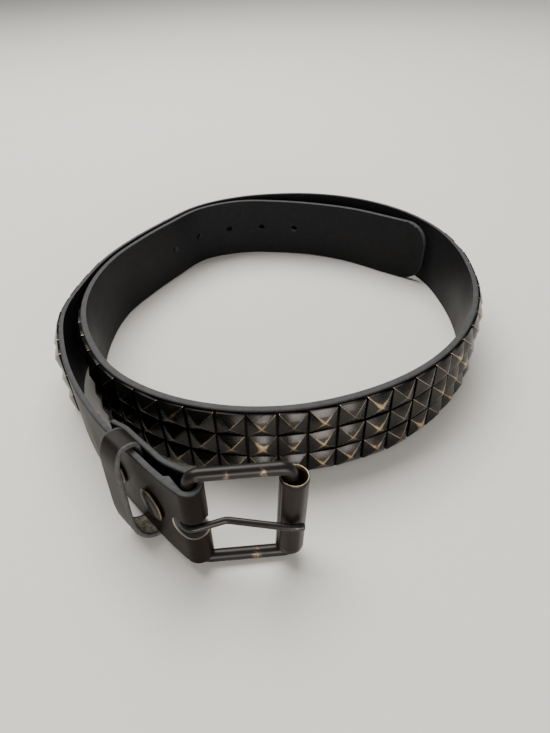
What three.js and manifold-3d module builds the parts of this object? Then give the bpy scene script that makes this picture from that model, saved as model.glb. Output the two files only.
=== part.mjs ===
// Studded leather belt, unfastened and wound one and a half turns, standing on its lower edge.
// Millimetres, +Z up, with the origin on the table under the middle of the belt's box.
import * as THREE from "three";
import { mergeVertices } from "three/addons/utils/BufferGeometryUtils.js";
import Module from "manifold-3d";

const wasm = await Module();
wasm.setup();

// Strap
const strapWidth = 40;
const strapThickness = 3.4;
const plyThickness = 2.6; // the single ply that goes round the heel bar and back as the flap
const edgeRound = 0.8;
const tipCornerRadius = 14;
const loopDiameter = 214; // mean diameter of the wound strap
const turnGap = 0.5; // left between the two turns where they touch
const stationLength = 8; // longest straight piece of the plain stretches
const plyStepSetback = 9.5; // where the backing ply ends, before the heel bar
const riseLength = 130; // stretch over which the strap lifts on to the buckle's lower bar
const riseBend = 2.6; // power of that curve

// Adjuster holes
const holeCount = 5;
const holeSpacing = 24;
const holeDiameter = 4.8;
const holeSetback = 96; // first hole from the tip
const holeSides = 12;

// Studs
const studPitch = 12.7;
const studRows = 3;
const studHeight = 4.1; // apex above the leather
const studPlate = 0.9;
const studGroove = 0.45; // half of the gap between two pyramids
const studSetback = 298; // first column from the tip
const studStop = 101; // last column ends this far before the heel bar

// Buckle
const wireDiameter = 5;
const frameInnerHeight = 42;
const frameReach = 35.9; // heel bar to front bar, centre to centre
const frameBend = 4;
const buckleTurn = 45.5; // degrees that the frame is turned from the strap's line
const buckleLean = 2.6; // degrees that its top leans back
const rollerBore = 9.2;
const rollerWall = 0.85;
const rollerLength = 39;
const rollerTilt = 3.4; // degrees, the loose tube leans on its bar
const prongDiameter = 2.7;
const prongKinkShare = 0.325; // of the reach
const prongKinkSide = 1.4; // kink's distance in front of the bars' plane
const prongOverhang = 4; // tip past the roller's axis
const slotLengthBehind = 6; // the slot's end behind the heel bar's axis
const slotHeight = 8.6;

// Keeper and snaps
const keeperLength = 13;
const keeperSetback = 31; // its middle before the heel bar, at half height
const keeperSlant = 8.5; // its top is this much farther from the heel bar than its foot
const keeperThickness = 1.9;
const keeperInnerThickness = 1.2; // skived run between strap and flap
const keeperBulge = 8; // stand-off of the outer run's middle line from the strap's face
const snapCapDiameter = 14;
const snapCapHeight = 1.8;
const snapPostDiameter = 4;
const snapBackDiameter = 10;
const snapBackThickness = 1;
const snapFrontSpacing = 4; // post to the keeper's near edge, at half height
const snapRearSpacing = 5.5; // post to the keeper's far edge, at half height
const flapMargin = 1.2; // flap past the rear snap's back

// Clearances
const seatGap = 0.3;
const prongGap = 0.36; // prong to the heel bar and to the roller
const keeperGap = 0.45; // keeper's inner run to the strap and to the flap
const snapSeatGap = 0.45;
const snapHoleGap = 0.4;
const heelBarGap = 0.4;
const liftGap = 0.6; // strap's lower edge over the frame's lower bar

// The route of the strap's middle line from the tip to the heel bar, seen from above.
// angle: degrees round the loop. reach: share of the loop's radius.
// layer: -1 inner turn, 1 outer turn.
// apart: share of the stud height that the turns make room for.
// lean: the top's outward shift, as a share of the width.
const route = [
  { angle: 30, reach: 1.04, layer: -1, apart: 0, lean: 0.02 },
  { angle: 45, reach: 0.968, layer: -1, apart: 0, lean: 0.035 },
  { angle: 60, reach: 0.953, layer: -1, apart: 0, lean: 0 },
  { angle: 75, reach: 0.955, layer: -1, apart: 0, lean: -0.035 },
  { angle: 90, reach: 0.979, layer: -1, apart: 0, lean: -0.015 },
  { angle: 105, reach: 1.027, layer: -1, apart: 0, lean: 0 },
  { angle: 120, reach: 1.035, layer: -1, apart: 0, lean: -0.03 },
  { angle: 135, reach: 0.974, layer: -1, apart: 0, lean: 0 },
  { angle: 150, reach: 0.957, layer: -1, apart: 0, lean: 0.015 },
  { angle: 165, reach: 0.977, layer: -1, apart: 0, lean: 0.02 },
  { angle: 180, reach: 1.005, layer: -1, apart: -0.3, lean: 0.05 },
  { angle: 195, reach: 1.033, layer: -1, apart: -0.5, lean: 0.04 },
  { angle: 210, reach: 1.048, layer: -1, apart: -0.5, lean: 0.02 },
  { angle: 225, reach: 1.05, layer: -0.5, apart: -0.3, lean: 0 },
  { angle: 240, reach: 1.02, layer: 0, apart: 0, lean: 0 },
  { angle: 255, reach: 1, layer: 0, apart: 0, lean: 0 },
  { angle: 270, reach: 0.978, layer: 0, apart: 0, lean: 0 },
  { angle: 285, reach: 0.96, layer: 0, apart: 0, lean: -0.015 },
  { angle: 300, reach: 0.953, layer: 0, apart: 0, lean: -0.02 },
  { angle: 330, reach: 0.955, layer: 0, apart: 0, lean: 0 },
  { angle: 360, reach: 0.98, layer: 0, apart: 0, lean: 0.03 },
  { angle: 375, reach: 1.002, layer: 0.5, apart: 0, lean: 0.05 },
  { angle: 390, reach: 1.04, layer: 1, apart: 0, lean: 0.02 },
  { angle: 405, reach: 1.068, layer: 1, apart: 0, lean: 0 },
  { angle: 420, reach: 1.075, layer: 1, apart: 0, lean: 0 },
  { angle: 435, reach: 1.074, layer: 1, apart: 0, lean: -0.02 },
  { angle: 450, reach: 1.061, layer: 1, apart: 0, lean: -0.015 },
  { angle: 465, reach: 1.053, layer: 1, apart: 0, lean: 0 },
  { angle: 480, reach: 1.038, layer: 1, apart: 0, lean: -0.03 },
  { angle: 495, reach: 0.976, layer: 1, apart: 0, lean: 0 },
  { angle: 510, reach: 0.96, layer: 1, apart: 0, lean: 0.015 },
  { angle: 525, reach: 0.979, layer: 1, apart: 0, lean: 0.02 },
  { angle: 540, reach: 0.993, layer: 1, apart: 0.3, lean: 0.05 },
  { angle: 555, reach: 1.05, layer: 1, apart: 0.5, lean: 0.03 },
  { angle: 570, reach: 1.093, layer: 1, apart: 0.5, lean: 0 },
  { angle: 585, reach: 1.168, layer: 0.5, apart: 0.3, lean: 0 },
  { angle: 598, reach: 1.265, layer: 0, apart: 0, lean: 0 },
  { angle: 606, reach: 1.332, layer: 0, apart: 0, lean: 0 },
  { angle: 611, reach: 1.391, layer: 0, apart: 0, lean: 0 },
  { angle: 615.5, reach: 1.449, layer: 0, apart: 0, lean: 0 },
];

// The keeper's middle line round the strap, seen along the strap, from the inner run over the top.
// side: -1 the inner run, 0 the strap's face, 1 the bulge. height: share of the strap's width.
// over: share of the clearance and half thickness that it stands past the strap's edge.
// thick: 0 the skived thickness, 1 the full one.
const keeperLine = [
  { side: -1, height: 0.06, over: 0, thick: 0 },
  { side: -1, height: 0.5, over: 0, thick: 0 },
  { side: -1, height: 0.93, over: 0, thick: 0 },
  { side: -1, height: 1, over: 0.1, thick: 0.2 },
  { side: -0.75, height: 1, over: 1.2, thick: 0.6 },
  { side: -0.3, height: 1, over: 1.75, thick: 1 },
  { side: 0.1, height: 1, over: 2, thick: 1 },
  { side: 0.41, height: 1, over: 1.75, thick: 1 },
  { side: 0.65, height: 0.985, over: 0, thick: 1 },
  { side: 0.77, height: 0.91, over: 0, thick: 1 },
  { side: 0.86, height: 0.74, over: 0, thick: 1 },
  { side: 0.95, height: 0.5, over: 0, thick: 1 },
  { side: 1.01, height: 0.29, over: 0, thick: 1 },
  { side: 0.94, height: 0.14, over: 0, thick: 1 },
  { side: 0.66, height: 0.03, over: 0, thick: 1 },
  { side: 0.3, height: 0, over: -0.8, thick: 1 },
  { side: -0.1, height: 0, over: -1.15, thick: 1 },
  { side: -0.6, height: 0, over: -1.05, thick: 0.8 },
  { side: -1, height: 0, over: -0.3, thick: 0.2 },
];

const strapHalf = strapThickness / 2;
const wireRadius = wireDiameter / 2;
const foldInnerRadius = wireRadius + heelBarGap;
const foldOuterRadius = foldInnerRadius + plyThickness;
const lift = wireDiameter + liftGap;
const degree = Math.PI / 180;
const leanSlope = Math.tan(buckleLean * degree);

function easeBetween(share) {
  const x = Math.min(1, Math.max(0, share));
  return x * x * (3 - 2 * x);
}

// Cubic through the rows of a table, one column at a time
function columnAt(rows, key, column, value) {
  let i = 0;
  while (i < rows.length - 2 && rows[i + 1][key] < value) i++;
  const slope = (k) => {
    const low = rows[Math.max(k - 1, 0)];
    const high = rows[Math.min(k + 1, rows.length - 1)];
    return (high[column] - low[column]) / (high[key] - low[key]);
  };
  const span = rows[i + 1][key] - rows[i][key];
  const x = (value - rows[i][key]) / span;
  const start = rows[i][column] * (2 * x ** 3 - 3 * x ** 2 + 1);
  const end = rows[i + 1][column] * (3 * x ** 2 - 2 * x ** 3);
  const leave = slope(i) * span * (x ** 3 - 2 * x ** 2 + x);
  const arrive = slope(i + 1) * span * (x ** 3 - x ** 2);
  return start + end + leave + arrive;
}

function routePoint(angle) {
  const spread = columnAt(route, "angle", "layer", angle) * (strapThickness + turnGap) / 2;
  const room = columnAt(route, "angle", "apart", angle) * studHeight;
  const radius = columnAt(route, "angle", "reach", angle) * loopDiameter / 2 + spread + room;
  return new THREE.Vector2(radius * Math.cos(angle * degree), radius * Math.sin(angle * degree));
}

// Length run from the tip, noted at every half degree of the route
const measuredStep = 0.5;
const measured = [];
const firstAngle = route[0].angle;
const lastAngle = route[route.length - 1].angle;
for (let angle = firstAngle; angle <= lastAngle; angle += measuredStep) {
  const point = routePoint(angle);
  const before = measured[measured.length - 1];
  const run = before ? before.run + point.distanceTo(before.point) : 0;
  measured.push({ angle, point, run });
}
const strapRun = measured[measured.length - 1].run;

function alongRoute(angle) {
  const ahead = routePoint(Math.min(angle + measuredStep / 2, lastAngle));
  return ahead.sub(routePoint(angle - measuredStep / 2)).normalize();
}

const heading = alongRoute(lastAngle).angle() + buckleTurn * degree;
const backward = new THREE.Vector2(-Math.sin(heading), Math.cos(heading));

// Where the strap's middle line is after a run from the tip: its outward normal, how its top leans
// per millimetre of height, and how far its lower edge is off the table
function placeAt(run) {
  let i = 0;
  while (i < measured.length - 2 && measured[i + 1].run < run) i++;
  const share = (run - measured[i].run) / (measured[i + 1].run - measured[i].run);
  const angle = measured[i].angle + share * measuredStep;
  const point = routePoint(angle);
  const along = alongRoute(angle);
  const normal = new THREE.Vector2(along.y, -along.x);
  const near = Math.max(0, 1 - (strapRun - run) / riseLength) ** riseBend;
  const lean = normal.clone().multiplyScalar(columnAt(route, "angle", "lean", angle));
  lean.addScaledVector(backward, leanSlope * near);
  return { x: point.x, y: point.y, normal, lean, rise: lift * near };
}

// A point beside the middle line: out from it, and up from the strap's lower edge
function pointAt(place, out, height) {
  const above = height - strapWidth / 2;
  return new THREE.Vector3(
    place.x + place.normal.x * out + place.lean.x * above,
    place.y + place.normal.y * out + place.lean.y * above,
    place.rise + height,
  );
}

function geometryOf(corners) {
  const geometry = new THREE.BufferGeometry();
  const positions = corners.flatMap((corner) => [corner.x, corner.y, corner.z]);
  geometry.setAttribute("position", new THREE.Float32BufferAttribute(positions, 3));
  return mergeVertices(geometry, 1e-4);
}

function quad(corners, a, b, c, d) {
  corners.push(a, b, c, a, c, d);
}

// Skin over a row of rings, closed by flat ends or joined on itself
function loft(rings, joined = false) {
  const corners = [];
  const spans = joined ? rings.length : rings.length - 1;
  for (let i = 0; i < spans; i++) {
    const here = rings[i];
    const next = rings[(i + 1) % rings.length];
    for (let j = 0; j < here.length; j++) {
      const k = (j + 1) % here.length;
      quad(corners, here[j], next[j], next[k], here[k]);
    }
  }
  if (!joined) {
    const first = rings[0];
    const last = rings[rings.length - 1];
    for (let j = 1; j < first.length - 1; j++) {
      corners.push(first[0], first[j], first[j + 1]);
      corners.push(last[0], last[j + 1], last[j]);
    }
  }
  return geometryOf(corners);
}

function solidOf(geometry) {
  const bare = geometry.clone();
  bare.deleteAttribute("normal");
  bare.deleteAttribute("uv");
  const merged = mergeVertices(bare, 1e-4);
  return new wasm.Manifold(new wasm.Mesh({
    numProp: 3,
    vertProperties: new Float32Array(merged.attributes.position.array),
    triVerts: new Uint32Array(merged.index.array),
  }));
}

function cutFrom(geometry, tools) {
  let solid = solidOf(geometry);
  for (const tool of tools) solid = solid.subtract(solidOf(tool));
  const mesh = solid.getMesh();
  const result = new THREE.BufferGeometry();
  result.setAttribute("position", new THREE.BufferAttribute(mesh.vertProperties, 3));
  result.setIndex(new THREE.BufferAttribute(mesh.triVerts, 1));
  return result;
}

// Turns a shape made round the Y axis so that it points outward through the strap at a place
function throughStrap(geometry, place, height) {
  const outward = new THREE.Vector3(place.normal.x, place.normal.y, 0);
  const turn = new THREE.Quaternion().setFromUnitVectors(new THREE.Vector3(0, 1, 0), outward);
  const seat = pointAt(place, 0, height);
  return geometry.applyQuaternion(turn).translate(seat.x, seat.y, seat.z);
}

// One cross-section of the strap: a rectangle with softened edges, drawn in by inset at the tip
function strapRing(place, inner, outer, inset = 0) {
  const low = inset;
  const high = strapWidth - inset;
  const round = Math.min(edgeRound, (outer - inner) * 0.3);
  return [
    pointAt(place, outer, low + round),
    pointAt(place, outer, high - round),
    pointAt(place, outer - round, high),
    pointAt(place, inner + round, high),
    pointAt(place, inner, high - round),
    pointAt(place, inner, low + round),
    pointAt(place, inner + round, low),
    pointAt(place, outer - round, low),
  ];
}

const keeperNear = keeperSetback - keeperLength / 2;
const keeperFar = keeperSetback + keeperLength / 2;
const snapFrontSetback = keeperNear - snapFrontSpacing - snapPostDiameter / 2;
const snapRearSetback = keeperFar + snapRearSpacing + snapPostDiameter / 2;
const flapLength = snapRearSetback + snapBackDiameter / 2 + flapMargin;

// How far the flap's middle lies out from the strap's middle line, at a distance behind the heel bar
function flapOut(behind) {
  const atBar = strapHalf - foldOuterRadius - (foldInnerRadius + foldOuterRadius) / 2;
  const atKeeper = -(strapHalf + keeperInnerThickness + 2 * keeperGap + plyThickness / 2);
  const atEnd = -(strapHalf + seatGap + plyThickness / 2);
  const closing = easeBetween(behind / (keeperNear - keeperSlant / 2));
  const keeperTop = keeperFar + keeperSlant / 2;
  const ending = easeBetween((behind - keeperTop) / (flapLength - keeperTop));
  return atBar + (atKeeper - atBar) * closing + (atEnd - atKeeper) * ending;
}

const endPlace = placeAt(strapRun);
const endAlong = new THREE.Vector2(-endPlace.normal.y, endPlace.normal.x);
const heelAxis = new THREE.Vector2(endPlace.x, endPlace.y)
  .addScaledVector(endPlace.normal, strapHalf - foldOuterRadius);
const studCount = Math.floor((strapRun - studStop - studSetback) / studPitch);
const studEnd = studSetback + studCount * studPitch;

// Runs from the tip at which the strap has a cross-section; the studded stretch bends between columns
function strapStations() {
  const runs = [];
  const spread = (from, to, length) => {
    const count = Math.max(1, Math.ceil((to - from) / length));
    for (let i = 0; i < count; i++) runs.push(from + (to - from) * i / count);
  };
  spread(tipCornerRadius, studSetback, stationLength);
  spread(studSetback, studEnd, studPitch * 1.001);
  spread(studEnd, strapRun - plyStepSetback, stationLength);
  return runs;
}

function buildStrap() {
  const rings = [];
  const cornerSteps = 5;
  for (let i = 0; i < cornerSteps; i++) {
    const turn = (i / cornerSteps) * 90 * degree;
    const run = tipCornerRadius * (1 - Math.cos(turn));
    const inset = tipCornerRadius * (1 - Math.sin(turn));
    rings.push(strapRing(placeAt(run), -strapHalf, strapHalf, inset));
  }
  for (const run of strapStations()) rings.push(strapRing(placeAt(run), -strapHalf, strapHalf));
  const plyInner = strapHalf - plyThickness;
  const stepPlace = placeAt(strapRun - plyStepSetback);
  const stepSlope = strapThickness - plyThickness;
  rings.push(strapRing(stepPlace, -strapHalf, strapHalf));
  rings.push(strapRing(placeAt(strapRun - plyStepSetback + stepSlope), plyInner, strapHalf));
  rings.push(strapRing(placeAt(strapRun - plyStepSetback / 2), plyInner, strapHalf));
  const foldSteps = 9;
  for (let i = 0; i <= foldSteps; i++) {
    const turn = Math.PI * i / foldSteps;
    const normal = endPlace.normal.clone().multiplyScalar(Math.cos(turn))
      .addScaledVector(endAlong, Math.sin(turn));
    const place = { ...endPlace, x: heelAxis.x, y: heelAxis.y, normal };
    rings.push(strapRing(place, foldInnerRadius, foldOuterRadius));
  }
  const flapSteps = 10;
  for (let i = 1; i <= flapSteps; i++) {
    const behind = flapLength * i / flapSteps;
    const place = placeAt(strapRun - behind);
    const out = flapOut(behind);
    place.x += place.normal.x * out;
    place.y += place.normal.y * out;
    place.normal.negate();
    rings.push(strapRing(place, -plyThickness / 2, plyThickness / 2));
  }
  return cutFrom(loft(rings), [...adjusterHoles(), ...snapHoles(), prongSlot()]);
}

function adjusterHoles() {
  const tools = [];
  for (let i = 0; i < holeCount; i++) {
    const place = placeAt(holeSetback + i * holeSpacing);
    const drill = new THREE.CylinderGeometry(
      holeDiameter / 2, holeDiameter / 2, strapThickness * 2, holeSides);
    tools.push(throughStrap(drill, place, strapWidth / 2));
  }
  return tools;
}

function snapHoles() {
  const radius = snapPostDiameter / 2 + snapHoleGap;
  return [snapFrontSetback, snapRearSetback].map((setback) => {
    const drill = new THREE.CylinderGeometry(radius, radius, foldOuterRadius * 5, holeSides);
    return throughStrap(drill, placeAt(strapRun - setback), strapWidth / 2);
  });
}

// Long slot with a round end on each side of the fold, for the prong's loop
function prongSlot() {
  const half = slotHeight / 2;
  const outline = new THREE.Shape();
  outline.moveTo(foldOuterRadius * 2, -half);
  outline.lineTo(foldOuterRadius * 2, half);
  outline.lineTo(half - slotLengthBehind, half);
  outline.absarc(half - slotLengthBehind, 0, half, Math.PI / 2, Math.PI * 1.5, false);
  const depth = foldOuterRadius * 4;
  const tool = new THREE.ExtrudeGeometry(outline, { depth, bevelEnabled: false, curveSegments: 8 });
  tool.translate(0, 0, -depth / 2);
  const basis = new THREE.Matrix4().makeBasis(
    new THREE.Vector3(endAlong.x, endAlong.y, 0),
    new THREE.Vector3(0, 0, 1),
    new THREE.Vector3(endPlace.normal.x, endPlace.normal.y, 0),
  );
  basis.setPosition(heelAxis.x, heelAxis.y, endPlace.rise + strapWidth / 2);
  return tool.applyMatrix4(basis);
}

// Three rows of pyramids on a thin plate, each column flat and the plate bent between columns
function buildStudField() {
  const corners = [];
  const face = strapHalf + seatGap;
  const top = face + studPlate;
  const margin = (strapWidth - studRows * studPitch) / 2;
  const heights = [];
  for (let row = 0; row <= studRows; row++) heights.push(margin + row * studPitch);
  const lowest = heights[0];
  const highest = heights[studRows];
  const groove = studGroove / studPitch;
  for (let column = 0; column < studCount; column++) {
    const left = placeAt(studSetback + column * studPitch);
    const right = placeAt(studSetback + (column + 1) * studPitch);
    const onPlate = (across, height) =>
      pointAt(left, top, height).lerp(pointAt(right, top, height), across);
    for (let row = 0; row < studRows; row++) {
      const low = heights[row];
      const high = heights[row + 1];
      const cell = [onPlate(0, low), onPlate(1, low), onPlate(1, high), onPlate(0, high)];
      const foot = [
        onPlate(groove, low + studGroove),
        onPlate(1 - groove, low + studGroove),
        onPlate(1 - groove, high - studGroove),
        onPlate(groove, high - studGroove),
      ];
      const outward = new THREE.Vector3(
        left.normal.x + right.normal.x, left.normal.y + right.normal.y, 0).normalize();
      const apex = onPlate(0.5, (low + high) / 2)
        .addScaledVector(outward, studHeight - seatGap - studPlate);
      for (let i = 0; i < cell.length; i++) {
        const k = (i + 1) % cell.length;
        quad(corners, cell[i], cell[k], foot[k], foot[i]);
        corners.push(foot[i], foot[k], apex);
      }
    }
    quad(corners, pointAt(left, face, lowest), pointAt(left, face, highest),
      pointAt(right, face, highest), pointAt(right, face, lowest));
    quad(corners, pointAt(left, face, lowest), pointAt(right, face, lowest),
      pointAt(right, top, lowest), pointAt(left, top, lowest));
    quad(corners, pointAt(left, top, highest), pointAt(right, top, highest),
      pointAt(right, face, highest), pointAt(left, face, highest));
  }
  for (const [run, last] of [[studSetback, false], [studEnd, true]]) {
    const place = placeAt(run);
    const edge = [pointAt(place, face, lowest)];
    for (const height of heights) edge.push(pointAt(place, top, height));
    edge.push(pointAt(place, face, highest));
    for (let i = 1; i < edge.length - 1; i++) {
      if (last) corners.push(edge[0], edge[i + 1], edge[i]);
      else corners.push(edge[0], edge[i], edge[i + 1]);
    }
  }
  return geometryOf(corners);
}

// Ring of a round wire, seen along its run
function wireRing(centre, side, up, radius, sides) {
  const ring = [];
  for (let i = 0; i < sides; i++) {
    const turn = 2 * Math.PI * i / sides;
    ring.push(centre.clone()
      .addScaledVector(side, radius * Math.cos(turn))
      .addScaledVector(up, radius * Math.sin(turn)));
  }
  return ring;
}

// Rectangular frame of round wire, its heel bar on the local Z axis and its lower bar on the table
function buildFrame() {
  const rings = [];
  const low = wireRadius;
  const high = wireRadius + frameInnerHeight + wireDiameter;
  const bends = [
    { x: frameReach - frameBend, z: low + frameBend, start: -90 },
    { x: frameReach - frameBend, z: high - frameBend, start: 0 },
    { x: frameBend, z: high - frameBend, start: 90 },
    { x: frameBend, z: low + frameBend, start: 180 },
  ];
  const bendSteps = 5;
  const across = new THREE.Vector3(0, 1, 0);
  for (const bend of bends) {
    for (let i = 0; i <= bendSteps; i++) {
      const turn = (bend.start + 90 * i / bendSteps) * degree;
      const outward = new THREE.Vector3(Math.cos(turn), 0, Math.sin(turn));
      const centre = new THREE.Vector3(bend.x, 0, bend.z).addScaledVector(outward, frameBend);
      rings.push(wireRing(centre, across, outward, wireRadius, 12));
    }
  }
  return loft(rings, true);
}

// Loose tube that turns on the front bar
function buildRoller() {
  const inner = rollerBore / 2;
  const outer = inner + rollerWall;
  const half = rollerLength / 2;
  const rim = rollerWall * 0.4;
  const profile = [
    new THREE.Vector2(inner, -half),
    new THREE.Vector2(outer - rim, -half),
    new THREE.Vector2(outer, -half + rim),
    new THREE.Vector2(outer, half - rim),
    new THREE.Vector2(outer - rim, half),
    new THREE.Vector2(inner, half),
    new THREE.Vector2(inner, -half),
  ];
  return new THREE.LatheGeometry(profile, 20).rotateX(Math.PI / 2);
}

// Wire prong: looped round the heel bar, kinked, and resting on the roller near its tip
function buildProng() {
  const radius = prongDiameter / 2;
  const loopRadius = wireRadius + prongGap + radius;
  const kink = new THREE.Vector2(frameReach * prongKinkShare, -prongKinkSide);
  const rest = rollerBore / 2 + rollerWall + prongGap + radius;
  const tangentTurn = kink.angle() - Math.acos(loopRadius / kink.length());
  const points = [];
  const loopSteps = 14;
  const loopSweep = 268 * degree;
  for (let i = 0; i <= loopSteps; i++) {
    const turn = tangentTurn - loopSweep * (1 - i / loopSteps);
    points.push(new THREE.Vector2(loopRadius * Math.cos(turn), loopRadius * Math.sin(turn)));
  }
  points.push(kink.clone().lerp(points[loopSteps], 0.1));
  const front = new THREE.Vector2(frameReach, 0);
  const toFront = front.clone().sub(kink);
  const touchTurn = toFront.angle() + Math.PI + Math.acos(rest / toFront.length());
  const touch = front.clone().add(new THREE.Vector2(Math.cos(touchTurn), Math.sin(touchTurn))
    .multiplyScalar(rest));
  points.push(kink.clone().lerp(touch, 0.05));
  points.push(touch);
  points.push(new THREE.Vector2(frameReach, -rest));
  points.push(new THREE.Vector2(frameReach + prongOverhang, -rest));
  const up = new THREE.Vector3(0, 0, 1);
  const rings = points.map((point, i) => {
    const before = points[Math.max(i - 1, 0)];
    const after = points[Math.min(i + 1, points.length - 1)];
    const along = after.clone().sub(before).normalize();
    const side = new THREE.Vector3(along.y, -along.x, 0);
    return wireRing(new THREE.Vector3(point.x, point.y, 0), side, up, radius, 8);
  });
  return loft(rings);
}

// Band round the strap and through the fold, slanted toward the heel bar at its foot
function buildKeeper() {
  const outlineSteps = 3;
  const lengthSteps = 2;
  const clear = seatGap + keeperThickness / 2;
  const inner = strapHalf + keeperGap + keeperInnerThickness / 2;
  const outer = strapHalf + keeperBulge;
  const line = new THREE.CatmullRomCurve3(keeperLine.map((row) => {
    const out = row.side * (row.side < 0 ? inner : outer);
    return new THREE.Vector3(out, row.height * strapWidth + row.over * clear, row.thick);
  }), true, "centripetal");
  const count = keeperLine.length * outlineSteps;
  const rings = [];
  for (let i = 0; i < count; i++) {
    const middle = line.getPoint(i / count);
    const along = line.getTangent(i / count);
    const share = Math.min(1, Math.max(0, middle.z));
    const half = (keeperInnerThickness + (keeperThickness - keeperInnerThickness) * share) / 2;
    const away = new THREE.Vector2(-along.y, along.x).normalize().multiplyScalar(half);
    const slant = keeperSlant * (middle.y / strapWidth - 0.5);
    const places = [];
    for (let j = 0; j <= lengthSteps; j++) {
      const setback = keeperNear + keeperLength * j / lengthSteps + slant;
      places.push(placeAt(strapRun - setback));
    }
    rings.push([
      ...places.map((place) => pointAt(place, middle.x - away.x, middle.y - away.y)),
      ...places.reverse().map((place) => pointAt(place, middle.x + away.x, middle.y + away.y)),
    ]);
  }
  return loft(rings, true);
}

// Snap fastener through both plies: domed cap outside, post, and flat back inside
function buildSnap(setback) {
  const cap = snapCapDiameter / 2;
  const post = snapPostDiameter / 2;
  const back = snapBackDiameter / 2;
  const flapLow = Math.min(flapOut(setback - back), flapOut(setback + back));
  const backTop = flapLow - plyThickness / 2 - snapSeatGap;
  const capFoot = strapHalf + snapSeatGap;
  const profile = [
    new THREE.Vector2(0, backTop - snapBackThickness),
    new THREE.Vector2(back, backTop - snapBackThickness),
    new THREE.Vector2(back, backTop),
    new THREE.Vector2(post, backTop),
    new THREE.Vector2(post, capFoot),
    new THREE.Vector2(cap, capFoot),
    new THREE.Vector2(cap, capFoot + snapCapHeight * 0.35),
    new THREE.Vector2(cap * 0.85, capFoot + snapCapHeight * 0.7),
    new THREE.Vector2(cap * 0.5, capFoot + snapCapHeight * 0.93),
    new THREE.Vector2(0, capFoot + snapCapHeight),
  ];
  const solid = new THREE.LatheGeometry(profile, 20);
  return throughStrap(solid, placeAt(strapRun - setback), strapWidth / 2);
}

function addMesh(group, name, geometry, color, roughness, metalness) {
  const material = new THREE.MeshStandardMaterial({ color, roughness, metalness, flatShading: true });
  const mesh = new THREE.Mesh(geometry, material);
  mesh.name = name;
  group.add(mesh);
  return mesh;
}

const belt = new THREE.Group();
addMesh(belt, "strap", buildStrap(), 0x1d1a18, 0.5, 0);
addMesh(belt, "stud_field", buildStudField(), 0x2b2724, 0.38, 0.8);
addMesh(belt, "keeper", buildKeeper(), 0x1d1a18, 0.5, 0);
addMesh(belt, "snap_front", buildSnap(snapFrontSetback), 0x1a1716, 0.35, 0.7);
addMesh(belt, "snap_rear", buildSnap(snapRearSetback), 0x1a1716, 0.35, 0.7);

// The buckle turns on the heel bar's axis, which leans with the fold
const foldMiddle = endPlace.rise + strapWidth / 2;
const buckle = new THREE.Group();
buckle.position.set(
  heelAxis.x - backward.x * leanSlope * foldMiddle,
  heelAxis.y - backward.y * leanSlope * foldMiddle,
  wireRadius * (1 - Math.cos(buckleLean * degree)),
);
buckle.rotation.set(-buckleLean * degree, 0, heading, "ZYX");
belt.add(buckle);
addMesh(buckle, "buckle_frame", buildFrame(), 0x24211f, 0.4, 0.7);
const roller = addMesh(buckle, "roller", buildRoller(), 0x2a211c, 0.35, 0.7);
roller.position.set(frameReach, 0, wireDiameter + frameInnerHeight / 2);
roller.rotation.y = rollerTilt * degree;
const prong = addMesh(buckle, "prong", buildProng(), 0x3a3a3c, 0.4, 0.8);
prong.position.z = foldMiddle / Math.cos(buckleLean * degree);

const box = new THREE.Box3().setFromObject(belt, true);
const middle = box.getCenter(new THREE.Vector3());
belt.position.set(-middle.x, -middle.y, -box.min.z);

export default belt;
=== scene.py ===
# Studded belt, unbuckled and wound one and a half turns, standing on its edge.
# Sizes are millimetres; the pieces are made flat or straight, then laid along the belt's route.
import bisect
import functools
import math
import random

import bmesh
import bpy
from mathutils import Matrix, Vector


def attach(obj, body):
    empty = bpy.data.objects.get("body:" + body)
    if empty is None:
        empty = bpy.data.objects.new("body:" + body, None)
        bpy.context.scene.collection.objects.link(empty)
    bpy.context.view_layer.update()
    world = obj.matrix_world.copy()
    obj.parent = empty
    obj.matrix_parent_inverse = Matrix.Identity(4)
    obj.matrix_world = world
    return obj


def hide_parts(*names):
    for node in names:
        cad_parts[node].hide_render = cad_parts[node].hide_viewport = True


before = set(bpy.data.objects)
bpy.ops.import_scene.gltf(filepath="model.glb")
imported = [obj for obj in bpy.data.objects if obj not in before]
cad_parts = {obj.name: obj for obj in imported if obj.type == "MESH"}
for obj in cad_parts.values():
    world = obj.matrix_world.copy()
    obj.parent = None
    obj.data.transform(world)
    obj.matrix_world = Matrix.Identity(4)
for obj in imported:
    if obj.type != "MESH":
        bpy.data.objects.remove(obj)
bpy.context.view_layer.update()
print("stage: frame loaded")

mm = 0.001
beltShift = Vector((3.459, 16.122, 0))  # centres the belt in the frame
tolerance = 0.01  # mm within which two places count as the same
weld = 0.001  # mm within which points of one surface are merged
nearlyStraight = 0.001  # radians, a corner too slight to be bent

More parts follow.
